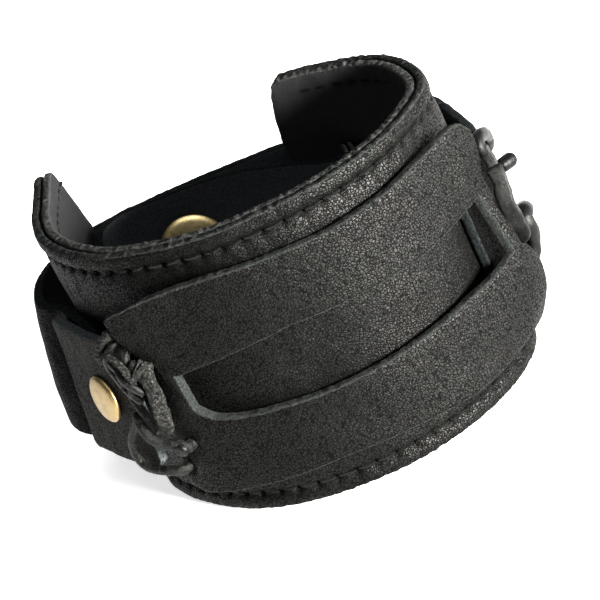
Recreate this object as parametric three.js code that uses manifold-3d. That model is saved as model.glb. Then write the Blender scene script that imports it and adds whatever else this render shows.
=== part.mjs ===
// A wide black leather cuff bracelet that stands on its lower rim, fastened as it is on a wrist.
// Millimetres, +Z up. The long axis of its oval runs along X and the front faces -Y.
//
// Every leather piece is a bent plate: it follows a plan path seen from above, stands upright on it, and has
// its outline given by distance along the path and height. Paths run left, front, right and back, so that the
// outward side is always on the right hand.

import * as THREE from 'three';
import { mergeVertices } from 'three/addons/utils/BufferGeometryUtils.js';
import Module from 'manifold-3d';

const wasm = await Module();
wasm.setup();

// Driving sizes.
const CUFF_HEIGHT = 50;
const OUTER_THICKNESS = 1.5;
const LINING_THICKNESS = 1.7;
const LAYER_GAP = 0.3;
const OVERLAY_THICKNESS = 2;
const TAB_CUT = { width: 24, thickness: 1.8, slant: 1.3 };
const STRAP_OUTER = { width: 23.4, thickness: 1.8 };
const STRAP_INNER = { width: 24, thickness: 1.8 };
const STITCH_INSET = 3;
const STITCH_DENT = 0.35;
const LACE_RADIUS = 0.85;
const LACE_HOLE_RADIUS = 1.45;
const LACE_STEPS = 90;
const FRONT_SNAP_RADIUS = 4.1;
const BACK_SNAP_RADIUS = 6.3;
const SHANK_RADIUS = 1.5;
const SHANK_HOLE_RADIUS = 1.85;
const SNAP_SEAT = 0.5;
const PUNCH_LENGTH = 22;

// How finely curves are cut into flats.
const SAMPLES_PER_SPAN = 16;
const STATION_STEP = 3.2;
const STRAP_LINES = [-1, -0.5, 0, 0.5, 1];
const SNAP_SIDES = 32;
const HOLE_SIDES = 12;

// Outer face of the cuff seen from above, from its left end round the front to its right end.
const CUFF_PLAN = [
  // x, y
  [-39.4, 19], [-39.3, 14], [-37.9, 8], [-36, 1.5], [-33.2, -6.5], [-28.5, -14.5], [-22, -21], [-13.8, -25.9],
  [-4, -28.6], [5, -28.7], [15, -25.9], [23, -21.2], [29.6, -14.5], [33.6, -6.5], [35, 1.5], [33.3, 8.5],
  [28.5, 16], [21, 21.5], [12, 24.6], [7, 25.4], [2.1, 25.5],
];
const FRONT_CENTRE = [0, -28.9];

// Half the cuff's height near each end, where the corners are cut back.
const CUFF_ENDS = {
  // distance from the end, share of the full half height
  left: [[0, 0.44], [3.5, 0.9], [4.4, 0.975], [5.6, 1]],
  right: [[0, 0.5], [0.7, 0.7], [1.6, 0.85], [2.5, 0.95], [4.5, 1]],
};

// Upright slot in the right back wall, where the inner strap goes in.
const SLOT = { from: 76.6, to: 86.2, bottom: -15.6, top: 14.3 };
const SLOT_LINE_SHARE = 0.65;

// The front overlay: two straps cut from one piece, joined by a narrow neck at each end of a long slot.
const OVERLAY = [
  // s, heights of: lower edge, slot's lower edge, slot's upper edge, upper edge;
  // stand-off of: lower edge, middle of lower strap, slot's lower edge, slot's upper edge, upper middle, upper edge
  [-16.5, -16.4, -12.9, 13.9, 14.4, 4.5, 4.6, 4.6, 6.4, 6.6, 6.8],
  [-15.2, -17.3, -9.0, 15.4, 16.4, 4.5, 4.6, 4.6, 6.4, 6.6, 6.8],
  [-14.4, -17.8, -3.6, 14.6, 17.9, 4.5, 4.6, 4.5, 6.4, 6.6, 6.8],
  [-13.4, -18.0, -1.0, 10.9, 18.2, 4.4, 4.6, 4.3, 5.9, 6.4, 6.6],
  [-11.3, -18.3, 2.2, 7.5, 18.7, 4.0, 4.3, 4.0, 4.8, 5.5, 6.0],
  [-9.6, -18.4, -2.4, 4.3, 19.0, 3.5, 3.7, 3.5, 3.8, 4.8, 5.4],
  [-7.5, -18.5, -4.4, 4.7, 19.3, 3.1, 3.2, 3.1, 3.2, 4.0, 4.6],
  [-3, -18.4, -5.2, 5.4, 19.5, 2.6, 2.6, 2.6, 2.7, 3.0, 3.3],
  [2.5, -17.9, -5.3, 6.3, 19.6, 2.5, 2.5, 2.5, 2.5, 2.6, 2.7],
  [9.5, -17.4, -5.6, 7.2, 19.1, 2.5, 2.5, 2.5, 2.5, 2.5, 2.5],
  [20, -18.0, -5.5, 6.7, 18.5, 2.5, 2.5, 2.5, 2.5, 2.5, 2.5],
  [30, -19.2, -5.2, 6.1, 18.7, 2.5, 2.5, 2.6, 2.5, 2.5, 2.5],
  [36, -19.4, -4.9, 6.3, 19.2, 2.5, 2.9, 3.1, 2.6, 2.6, 2.6],
  [41, -19.2, -4.3, 6.7, 19.4, 2.8, 4.4, 4.7, 3.3, 3.3, 3.2],
  [44.8, -18.9, -3.2, 7.4, 19.9, 3.3, 5.9, 6.0, 4.4, 4.5, 4.4],
  [46.8, -18.6, -3.2, 9.6, 19.5, 3.7, 6.6, 6.5, 5.0, 5.1, 5.0],
  [48.4, -18.3, -5.0, 13.4, 16.8, 4.0, 6.9, 6.7, 5.4, 5.5, 5.4],
  [49.2, -17.6, -8.0, 15.0, 15.6, 4.2, 6.8, 6.8, 5.4, 5.5, 5.4],
];
const OVERLAY_LOWER = { from: -16.5, to: 49.2 };
const OVERLAY_UPPER = { from: -14.4, to: 48.4 };
const OVERLAY_NECKS = [{ from: -11.3, to: -9.6 }, { from: 44.8, to: 46.8 }];

// The thick tab at the left of the front: outer face, top edge, how far its lower edge leans out, and its bulge.
const TAB = [
  // x, y, top edge, lean, bulge
  [-35.4, -14, 12, 0.9, 0.3], [-31.2, -18.3, 12, 0.5, 0.3], [-27, -22.5, 12, 0.2, 0.2], [-23.3, -25.7, 12, 0, 0.1],
  [-19.9, -28, 12, 0, 0],
];

// The outer strap, from its end behind the right of the back, round the left, to its nose under the tab.
const OUTER_STRAP = [
  // x, y, top edge, lean, bulge
  [15.3, 26.4, 11.3, 0, 0], [10, 27.5, 11.3, 0, 0], [4.5, 28.1, 11.3, 0, 0], [-2, 27.7, 11.3, 0, 0],
  [-8.5, 26.4, 11.3, 0, 0], [-14.5, 25.3, 11.3, 0, 0], [-21, 24.7, 10.9, 0, 0], [-28, 24.2, 10.3, 0, 0],
  [-34.8, 23.7, 9.5, 0, 0.2], [-40, 22.5, 9.2, 0.2, 0.4], [-42.8, 18.6, 9.4, 0.6, 0.7], [-43.6, 13, 10.3, 1.3, 1],
  [-44.3, 7.5, 11.3, 1.8, 1.2], [-44.2, 2, 12, 2, 1.2], [-42.8, -3.5, 12, 1.9, 1.1], [-40.5, -7.9, 12, 1.6, 0.8],
  [-37.8, -10.3, 11.9, 1.2, 0.4], [-34.4, -11.9, 11.8, 0.7, 0], [-32, -14, 11.7, 0.5, 0],
  [-29.6, -16.6, 11.7, 0.2, 0], [-25.4, -20.9, 11.7, 0, 0], [-22.7, -23.6, 11.7, 0, 0],
];

// The inner strap, from the right lacing, round the right, in through the slot, to its end inside the left.
const INNER_STRAP = [
  // x, y, top edge, lean, bulge
  [39.3, 1.8, 12.3, 0.5, 0], [39.1, 4.6, 12.3, 0.5, 0], [37.9, 8.7, 12.4, 0.3, 0], [35.7, 12.6, 12.5, 0, 0],
  [33.9, 15.7, 12.5, 0, 0], [32, 19.2, 12.4, 0, 0], [29.3, 23, 12.2, 0, 0], [26, 25, 11.6, 0, 0],
  [22.3, 25.2, 10.8, 0, 0], [18.6, 23.7, 10, 0, 0], [15.2, 21.5, 9.7, 0, 0], [12, 19.7, 9.7, 0, 0],
  [8.2, 19.6, 10.1, 0, 0], [4.2, 20.6, 10.7, 0, 0], [-1, 21.3, 11.4, 0, 0], [-6.8, 22.2, 12, 0, 0],
  [-12.3, 22.7, 12, 0, 0], [-18.8, 22.1, 12, 0, 0], [-25.3, 20.9, 12, 0, 0], [-30.3, 19.7, 12, 0, 0],
  [-32.8, 17.6, 12, 0, 0], [-34, 14, 12, 0, 0], [-34, 9.5, 12, 0, 0],
];

// How the ends of the straps are rounded off.
const NOSE = [
  // distance from the end, share of the half width
  [0, 0.2], [1, 0.4], [3, 0.66], [5.5, 0.9], [8, 1],
];
const SOFT_END = [
  // distance from the end, share of the half width
  [0, 0.62], [1, 0.8], [2.5, 0.93], [4.5, 1],
];
const SQUARE_END = [
  // distance from the end, share of the half width
  [0, 0.9], [0.9, 1], [3, 1],
];

// Routes of the laces beside the cuff's own path. Each goes straight through every hole that it meets.
const LEFT_LACE = [
  // s, z, stand-off
  [-9.8, 13, 1.35], [-12.5, 12.6, 1.6], [-14.4, 12.4, 2.6], [-15.5, 12.1, 4.4], [-16.9, 11.5, 6], [-19.5, 10.4, 6.2],
  [-22, 8.6, 6.1], [-22.6, 7.8, 5], [-22.6, 7.8, 2.2], [-21.4, 7.1, 1.25], [-18.5, 5.7, 1.25], [-15.6, 5.6, 2],
  [-14, 6, 4], [-13.6, 5.4, 5.6], [-14.2, 2.5, 6.2], [-14.7, -1.5, 6.2], [-14.3, -5, 6.3], [-12.9, -7.4, 6],
  [-12.7, -7.9, 4.8], [-12.7, -7.9, 2.2], [-14, -8.2, 1.25], [-18, -7.6, 1.25], [-20.8, -6.4, 1.25],
  [-22, -6, 2.2], [-22, -6, 5], [-23.2, -6.8, 6.2], [-25.6, -9.4, 6.2], [-25.8, -12.8, 5.6], [-22.6, -14.2, 5.4],
  [-19, -13.6, 6], [-16.4, -13, 6.3], [-14.9, -12.6, 5], [-14.9, -12.6, 1],
];
const UPPER_RIGHT_LACE = [
  // s, z, stand-off
  [56.2, 8.2, 0.9], [56.2, 8.2, 5], [56, 9.4, 6.2], [54.4, 11.4, 6.6], [52, 12.2, 6.4], [49.8, 11, 6.5],
  [48.2, 8.4, 6.6], [46.9, 5, 6.8], [45.8, 1, 7.5], [45.2, -2.6, 8], [45.2, -5, 7.8], [45.2, -5.6, 6.6],
  [45.2, -5.6, 3.4],
];
const LOWER_RIGHT_LACE = [
  // s, z, stand-off
  [56.2, -4.2, 0.9], [56.2, -4.2, 5], [55.6, -3.6, 6.3], [53.4, -2.6, 7], [51, -2.6, 7.5], [49.3, -4.4, 8],
  [48, -7, 8.3], [47, -9.2, 7.9], [46.8, -9.6, 6.8], [46.8, -9.6, 3.6],
];
const TAB_HOLES = [{ s: -22.6, z: 7.8 }, { s: -22, z: -6 }];
const OVERLAY_HOLES = [{ s: -12.7, z: -7.9 }, { s: -14.9, z: -12.6 }, { s: 45.2, z: -5.6 }, { s: 46.8, z: -9.6 }];
const INNER_STRAP_HOLES = [{ s: 56.2, z: 8.2 }, { s: 56.2, z: -4.2 }];

const FRONT_SNAP = { x: -26.6, y: -22.9, z: 0.5 };
const BACK_SNAP = { x: -20.8, y: 21.8, z: 1 };

const LEATHER = { color: 0x1d1c1b, roughness: 0.55, metalness: 0 };
const RAW_LEATHER = { color: 0x2a2928, roughness: 0.8, metalness: 0 };
const SUEDE = { color: 0x151517, roughness: 0.95, metalness: 0 };
const LACE_LEATHER = { color: 0x121214, roughness: 0.5, metalness: 0 };
const BRASS = { color: 0xa3814a, roughness: 0.35, metalness: 1 };

// Reads a table by its first column, blending the other columns between its rows.
function readTable(rows, at) {
  const next = Math.max(1, rows.findIndex((row, i) => row[0] >= at || i === rows.length - 1));
  const [before, after] = [rows[next - 1], rows[next]];
  const share = THREE.MathUtils.clamp((at - before[0]) / (after[0] - before[0]), 0, 1);
  return before.map((value, column) => THREE.MathUtils.lerp(value, after[column], share));
}

// Distances to stand a plate's columns at: every mark, and enough between them to bend smoothly.
function stationsThrough(marks) {
  const stations = [marks[0]];
  for (let i = 1; i < marks.length; i += 1) {
    const parts = Math.ceil((marks[i] - marks[i - 1]) / STATION_STEP);
    for (let part = 1; part <= parts; part += 1) {
      stations.push(THREE.MathUtils.lerp(marks[i - 1], marks[i], part / parts));
    }
  }
  return stations;
}

// A smooth path in plan through a table's x and y. Distance s counts from the point nearest to zeroAt.
function planPath(rows, zeroAt = rows[0]) {
  const corners = rows.map(([x, y]) => new THREE.Vector2(x, y));
  const samples = new THREE.SplineCurve(corners).getPoints(SAMPLES_PER_SPAN * (rows.length - 1));
  const walked = [0];
  for (let i = 1; i < samples.length; i += 1) {
    walked.push(walked[i - 1] + samples[i].distanceTo(samples[i - 1]));
  }
  const outward = samples.map((sample, i) => {
    const back = samples[Math.max(i - 1, 0)];
    const ahead = samples[Math.min(i + 1, samples.length - 1)];
    const along = ahead.clone().sub(back).normalize();
    return new THREE.Vector2(along.y, -along.x);
  });
  const zeroPoint = new THREE.Vector2(zeroAt[0], zeroAt[1]);
  const gaps = samples.map((sample) => sample.distanceTo(zeroPoint));
  const zero = walked[gaps.indexOf(Math.min(...gaps))];
  return {
    start: -zero,
    end: walked.at(-1) - zero,
    marks: rows.map((row, i) => walked[i * SAMPLES_PER_SPAN] - zero),
    // The point at distance s and height z, standing off to the outward side, with its outward direction.
    place(s, standOff, z) {
      const after = walked.findIndex((distance, i) => i > 0 && (distance >= s + zero || i === walked.length - 1));
      const share = (s + zero - walked[after - 1]) / (walked[after] - walked[after - 1]);
      const foot = samples[after - 1].clone().lerp(samples[after], share);
      const side = outward[after - 1].clone().lerp(outward[after], THREE.MathUtils.clamp(share, 0, 1)).normalize();
      foot.addScaledVector(side, standOff);
      return { point: new THREE.Vector3(foot.x, foot.y, z), side: new THREE.Vector3(side.x, side.y, 0) };
    },
    nearest(x, y) {
      const target = new THREE.Vector2(x, y);
      const distances = samples.map((sample) => sample.distanceTo(target));
      return walked[distances.indexOf(Math.min(...distances))] - zero;
    },
  };
}

// A closed plate from a grid of columns along its length and lines up its height. corner gives a point of the
// inner (0) or outer (1) skin, and isLeather says whether the cell after a column and above a line is filled.
function plateGeometry(columns, lines, corner, isLeather = () => true) {
  const positions = [];
  const addQuad = (...corners) => {
    for (const i of [0, 1, 2, 0, 2, 3]) {
      positions.push(...corners[i].toArray());
    }
  };
  const filled = (column, line) => (
    column >= 0 && line >= 0 && column < columns - 1 && line < lines - 1 && isLeather(column, line)
  );
  for (let i = 0; i < columns - 1; i += 1) {
    for (let j = 0; j < lines - 1; j += 1) {
      if (!filled(i, j)) continue;
      addQuad(corner(i, j, 1), corner(i + 1, j, 1), corner(i + 1, j + 1, 1), corner(i, j + 1, 1));
      addQuad(corner(i, j, 0), corner(i, j + 1, 0), corner(i + 1, j + 1, 0), corner(i + 1, j, 0));
      if (!filled(i, j - 1)) {
        addQuad(corner(i, j, 0), corner(i + 1, j, 0), corner(i + 1, j, 1), corner(i, j, 1));
      }
      if (!filled(i, j + 1)) {
        addQuad(corner(i, j + 1, 1), corner(i + 1, j + 1, 1), corner(i + 1, j + 1, 0), corner(i, j + 1, 0));
      }
      if (!filled(i - 1, j)) {
        addQuad(corner(i, j, 0), corner(i, j, 1), corner(i, j + 1, 1), corner(i, j + 1, 0));
      }
      if (!filled(i + 1, j)) {
        addQuad(corner(i + 1, j, 1), corner(i + 1, j, 0), corner(i + 1, j + 1, 0), corner(i + 1, j + 1, 1));
      }
    }
  }
  const geometry = new THREE.BufferGeometry();
  geometry.setAttribute('position', new THREE.Float32BufferAttribute(positions, 3));
  return geometry;
}

function toSolid(geometry) {
  const bare = geometry.clone();
  bare.deleteAttribute('normal');
  bare.deleteAttribute('uv');
  const merged = mergeVertices(bare);
  return new wasm.Manifold(new wasm.Mesh({
    numProp: 3,
    vertProperties: new Float32Array(merged.attributes.position.array),
    triVerts: new Uint32Array(merged.index.array),
  }));
}

function toGeometry(solid) {
  const mesh = solid.getMesh();
  const geometry = new THREE.BufferGeometry();
  geometry.setAttribute('position', new THREE.Float32BufferAttribute(mesh.vertProperties, 3));
  geometry.setIndex(new THREE.BufferAttribute(mesh.triVerts, 1));
  return geometry.toNonIndexed();
}

// Turns a geometry whose axis is +Y so that it points along a direction, and sets it on a point.
function aimed(geometry, point, direction) {
  const turn = new THREE.Quaternion().setFromUnitVectors(new THREE.Vector3(0, 1, 0), direction);
  return geometry.applyQuaternion(turn).translate(point.x, point.y, point.z);
}

// Punches round holes through a plate, each where its place says and square to the leather there.
function punched(geometry, places, radius) {
  let solid = toSolid(geometry);
  for (const { point, side } of places) {
    const punch = new THREE.CylinderGeometry(radius, radius, PUNCH_LENGTH, HOLE_SIDES);
    solid = solid.subtract(toSolid(aimed(punch, point, side)));
  }
  return toGeometry(solid);
}

function piece(name, geometry, look) {
  const mesh = new THREE.Mesh(geometry, new THREE.MeshStandardMaterial(look));
  mesh.geometry.computeVertexNormals();
  mesh.name = name;
  return mesh;
}

const cuffPath = planPath(CUFF_PLAN, FRONT_CENTRE);
const tabPath = planPath(TAB);
const outerStrapPath = planPath(OUTER_STRAP);
const innerStrapPath = planPath(INNER_STRAP);

// One layer of the cuff between two stand-offs. Only the outer layer is drawn in along the stitching.
function cuffLayer(inner, outer, dent) {
  const marks = [
    ...CUFF_ENDS.left.map(([distance]) => cuffPath.start + distance),
    SLOT.from,
    SLOT.to,
    ...CUFF_ENDS.right.toReversed().map(([distance]) => cuffPath.end - distance),
  ];
  const stations = stationsThrough(marks);
  const heights = stations.map((s) => {
    const leftShare = readTable(CUFF_ENDS.left, s - cuffPath.start)[1];
    const rightShare = readTable(CUFF_ENDS.right, cuffPath.end - s)[1];
    const half = Math.min(leftShare, rightShare) * CUFF_HEIGHT / 2;
    const slotBottom = Math.max(SLOT.bottom, -SLOT_LINE_SHARE * half);
    const slotTop = Math.min(SLOT.top, SLOT_LINE_SHARE * half);
    return [-half, STITCH_INSET - half, slotBottom, slotTop, half - STITCH_INSET, half];
  });
  const corner = (column, line, side) => {
    const stitched = line === 1 || line === 4;
    const standOff = side === 0 ? inner : outer - (stitched ? dent : 0);
    return cuffPath.place(stations[column], standOff, heights[column][line]).point;
  };
  const inSlot = (column) => stations[column] >= SLOT.from && stations[column] < SLOT.to;
  const isLeather = (column, line) => line !== 2 || !inSlot(column);
  return plateGeometry(stations.length, heights[0].length, corner, isLeather);
}

function overlayGeometry() {
  const stations = stationsThrough(OVERLAY.map(([s]) => s));
  const rows = stations.map((s) => {
    const [, low, slotLow, slotHigh, high, ...standOffs] = readTable(OVERLAY, s);
    return { heights: [low, (low + slotLow) / 2, slotLow, slotHigh, (slotHigh + high) / 2, high], standOffs };
  });
  const corner = (column, line, side) => {
    const { heights, standOffs } = rows[column];
    const standOff = standOffs[line] - (side === 0 ? OVERLAY_THICKNESS : 0);
    return cuffPath.place(stations[column], standOff, heights[line]).point;
  };
  const within = ({ from, to }, column) => stations[column] >= from && stations[column] < to;
  const isLeather = (column, line) => {
    if (line < 2) return within(OVERLAY_LOWER, column);
    if (line > 2) return within(OVERLAY_UPPER, column);
    return OVERLAY_NECKS.some((neck) => within(neck, column));
  };
  const plate = plateGeometry(stations.length, rows[0].heights.length, corner, isLeather);
  return punched(plate, OVERLAY_HOLES.map(({ s, z }) => cuffPath.place(s, 0, z)), LACE_HOLE_RADIUS);
}

// A strap along its own path, with an end profile at its start and at its end. Its slant slides the top of its
// far end along the path and the bottom back.
function strapGeometry(path, table, { width, thickness, slant = 0 }, startProfile, endProfile) {
  const columnsAlong = table.map(([, , top, lean, bulge], i) => [path.marks[i], top, lean, bulge]);
  const stations = stationsThrough([
    ...startProfile.map(([distance]) => path.start + distance),
    ...endProfile.toReversed().map(([distance]) => path.end - distance),
  ]);
  const corner = (column, line, side) => {
    const s = stations[column];
    const [, top, lean, bulge] = readTable(columnsAlong, s);
    const startShare = readTable(startProfile, s - path.start)[1];
    const endShare = readTable(endProfile, path.end - s)[1];
    const share = STRAP_LINES[line] * Math.min(startShare, endShare);
    const standOff = bulge * (1 - share * share) - lean * share - (side === 0 ? thickness : 0);
    const slide = slant * share * (s - path.start) / (path.end - path.start);
    return path.place(s + slide, standOff, top + (share - 1) * width / 2).point;
  };
  return plateGeometry(stations.length, STRAP_LINES.length, corner);
}

function tabGeometry() {
  const plate = strapGeometry(tabPath, TAB, TAB_CUT, SQUARE_END, SQUARE_END);
  const laceHoles = TAB_HOLES.map(({ s, z }) => cuffPath.place(s, 0, z));
  return punched(punched(plate, laceHoles, LACE_HOLE_RADIUS), [frontSnapPlace()], SHANK_HOLE_RADIUS);
}

function frontSnapPlace() {
  return tabPath.place(tabPath.nearest(FRONT_SNAP.x, FRONT_SNAP.y), 0, FRONT_SNAP.z);
}

function backSnapPlace() {
  return innerStrapPath.place(innerStrapPath.nearest(BACK_SNAP.x, BACK_SNAP.y), 0, BACK_SNAP.z);
}

function outerStrapGeometry() {
  const strap = strapGeometry(outerStrapPath, OUTER_STRAP, STRAP_OUTER, SOFT_END, NOSE);
  return punched(strap, [frontSnapPlace(), backSnapPlace()], SHANK_HOLE_RADIUS);
}

function innerStrapGeometry() {
  const strap = strapGeometry(innerStrapPath, INNER_STRAP, STRAP_INNER, SQUARE_END, SOFT_END);
  const laceHoles = INNER_STRAP_HOLES.map(({ s, z }) => cuffPath.place(s, 0, z));
  return punched(punched(strap, laceHoles, LACE_HOLE_RADIUS), [backSnapPlace()], SHANK_HOLE_RADIUS);
}

// A round lace swept along its route.
function laceGeometry(route) {
  const points = route.map(([s, z, standOff]) => cuffPath.place(s, standOff, z).point);
  const section = new THREE.Shape();
  section.absarc(0, 0, LACE_RADIUS, 0, 2 * Math.PI);
  const curve = new THREE.CatmullRomCurve3(points, false, 'centripetal');
  return new THREE.ExtrudeGeometry(section, { steps: LACE_STEPS, extrudePath: curve, curveSegments: 4 });
}

// A domed cap with a shank under it. Its underside lies in the plane y = 0 and it points along +Y.
function snapGeometry(radius, dome, shank) {
  const profile = [
    [0, -shank], [SHANK_RADIUS, -shank], [SHANK_RADIUS, 0], [radius, 0], [radius, 0.35 * dome],
    [0.86 * radius, 0.7 * dome], [0.5 * radius, 0.93 * dome], [0, dome],
  ];
  return new THREE.LatheGeometry(profile.map(([r, y]) => new THREE.Vector2(r, y)), SNAP_SIDES);
}

// A plain domed cap without a shank.
function capGeometry(radius, dome) {
  const profile = [[0, 0], [radius, 0], [radius, 0.4 * dome], [0.8 * radius, 0.8 * dome], [0, dome]];
  return new THREE.LatheGeometry(profile.map(([r, y]) => new THREE.Vector2(r, y)), SNAP_SIDES);
}

function frontSnap() {
  const { point, side } = frontSnapPlace();
  const shank = TAB_CUT.thickness + SNAP_SEAT + STRAP_OUTER.thickness;
  return aimed(snapGeometry(FRONT_SNAP_RADIUS, 1.3, shank), point.addScaledVector(side, SNAP_SEAT), side);
}

// The back snap's disc lies inside the inner strap, and its shank goes out through both straps.
function backSnap() {
  const { point, side } = backSnapPlace();
  const seat = STRAP_INNER.thickness + 2 * LAYER_GAP;
  const shank = seat + LAYER_GAP + STRAP_OUTER.thickness;
  return aimed(snapGeometry(BACK_SNAP_RADIUS, 1.1, shank), point.addScaledVector(side, -seat), side.negate());
}

function backSnapCap() {
  const s = outerStrapPath.nearest(BACK_SNAP.x, BACK_SNAP.y);
  const { point, side } = outerStrapPath.place(s, SNAP_SEAT, BACK_SNAP.z);
  return aimed(capGeometry(BACK_SNAP_RADIUS, 1.3), point, side);
}

function buildCuff() {
  const cuff = new THREE.Group();
  const liningFace = -OUTER_THICKNESS - LAYER_GAP;
  cuff.add(
    piece('cuff_outer', cuffLayer(-OUTER_THICKNESS, 0, STITCH_DENT), LEATHER),
    piece('cuff_lining', cuffLayer(liningFace - LINING_THICKNESS, liningFace, 0), SUEDE),
    piece('overlay', overlayGeometry(), LEATHER),
    piece('left_tab', tabGeometry(), RAW_LEATHER),
    piece('strap_outer', outerStrapGeometry(), LEATHER),
    piece('strap_inner', innerStrapGeometry(), RAW_LEATHER),
    piece('lace_left', laceGeometry(LEFT_LACE), LACE_LEATHER),
    piece('lace_right_upper', laceGeometry(UPPER_RIGHT_LACE), LACE_LEATHER),
    piece('lace_right_lower', laceGeometry(LOWER_RIGHT_LACE), LACE_LEATHER),
    piece('front_snap', frontSnap(), BRASS),
    piece('back_snap', backSnap(), BRASS),
    piece('back_snap_cap', backSnapCap(), BRASS),
  );
  return cuff;
}

// The origin lies on the floor under the middle of the whole.
function stoodOnFloor(cuff) {
  const box = new THREE.Box3().setFromObject(cuff, true);
  const middle = box.getCenter(new THREE.Vector3());
  cuff.position.set(-middle.x, -middle.y, -box.min.z);
  cuff.updateMatrixWorld(true);
  return cuff;
}

export default stoodOnFloor(buildCuff());
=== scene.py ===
# A wide black leather cuff bracelet, standing on a pale floor.
# Sizes are in millimetres, and pieces are made in metres. In the tables, s is the distance along a path seen
# from above, z the height from the cuff's middle, and stand-off the distance outward from the path.
# Most paths and outlines are those of the solids. The cuff's left end, the top of its slot, the straps' top
# edges, the flare of their lower edges and the inner strap's start follow the photograph more closely.

import math

import bpy
import numpy as np
from mathutils import Matrix, Vector


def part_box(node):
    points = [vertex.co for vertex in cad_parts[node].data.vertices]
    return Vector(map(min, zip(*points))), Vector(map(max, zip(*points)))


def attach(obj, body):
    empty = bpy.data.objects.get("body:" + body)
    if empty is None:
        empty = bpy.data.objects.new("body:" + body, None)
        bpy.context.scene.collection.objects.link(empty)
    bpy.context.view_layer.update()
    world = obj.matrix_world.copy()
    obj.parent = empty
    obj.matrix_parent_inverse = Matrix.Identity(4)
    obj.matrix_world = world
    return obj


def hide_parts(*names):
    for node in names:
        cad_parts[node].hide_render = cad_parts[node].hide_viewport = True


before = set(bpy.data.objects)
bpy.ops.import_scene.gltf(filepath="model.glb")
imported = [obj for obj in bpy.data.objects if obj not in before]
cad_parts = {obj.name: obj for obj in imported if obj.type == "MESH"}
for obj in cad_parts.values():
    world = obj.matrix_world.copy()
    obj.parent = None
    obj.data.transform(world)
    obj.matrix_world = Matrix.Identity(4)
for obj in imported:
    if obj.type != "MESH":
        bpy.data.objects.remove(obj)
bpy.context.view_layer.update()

MM = 0.001
IMAGE_SIZE = 600

# Driving sizes. Those that the solids share are the same there, but for the slant of the tab's end.
CUFF_HEIGHT = 50
OUTER_THICKNESS = 1.5
LINING_THICKNESS = 1.7
LAYER_GAP = 0.3
OVERLAY_THICKNESS = 2
TAB_CUT = {"width": 24, "thickness": 1.8, "slant": 0.5}
STRAP_OUTER = {"width": 23.4, "thickness": 1.8, "slant": 0}
STRAP_INNER = {"width": 24, "thickness": 1.8, "slant": 0}
LINING_GAP_SHARE = 0.7
LOWER_RIM_LIFT = 0.15

STITCH_INSET = 3
STITCH_PITCH = 3.4
STITCH_LENGTH = 2.9
STITCH_MARGINS = (5, 4)
STITCH_DIP = 0.55
STITCH_TAPER = 0.55
STITCH_SINK = {"outside": 0.46, "inside": 0.16}
THREAD_RADIUS = 0.27
STITCH_GROOVES = [
    # depth, more depth beside the holes, half width
    (0.24, 0.16, 0.5), (0.08, 0.05, 1.3),
]
STITCH_HOLE = {"depth": 0.75, "half_length": 0.5, "half_height": 0.4}
RIM_PUFF = 0.2

FRONT_SNAP_RADIUS = 4.1
BACK_SNAP_RADIUS = 6.3
SNAP_SEAT = 0.5
SNAP_RIM = 0.35
SNAP_RIM_HEIGHT = 0.5
CAP_DOME = 1.2
INSIDE_CAP_DOME = 1.5
SNAP_TILT = 0.16

CUFF_PLAN = [
    # x, y
    (-39.4, 19), (-39.3, 14), (-37.9, 8), (-36, 1.5), (-33.2, -6.5), (-28.5, -14.5), (-22, -21),
    (-13.8, -25.9), (-4, -28.6), (5, -28.7), (15, -25.9), (23, -21.2), (29.6, -14.5), (33.6, -6.5),
    (35, 1.5), (33.3, 8.5), (28.5, 16), (21, 21.5), (12, 24.6), (7, 25.4), (2.1, 25.5),
]
FRONT_CENTRE = (0, -28.9)

CUFF_ENDS = {
    # distance from the end, share of the full half height
    "left": [(0, 0.44), (1.6, 0.68), (2.6, 0.82), (3.5, 0.92), (4.4, 0.985), (5.4, 1.015), (6.6, 1.025),
             (9, 1.02), (12, 1)],
    "right": [(0, 0.5), (0.7, 0.74), (1.4, 0.87), (2.3, 0.96), (4, 1), (6, 1.01), (14, 1)],
}
RIGHT_END_REACH = 0.6
SLOT = {"from": 76.6, "to": 86.2, "bottom": -15.6, "top": 10.8}
SLOT_LINE_SHARE = 0.65

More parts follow.
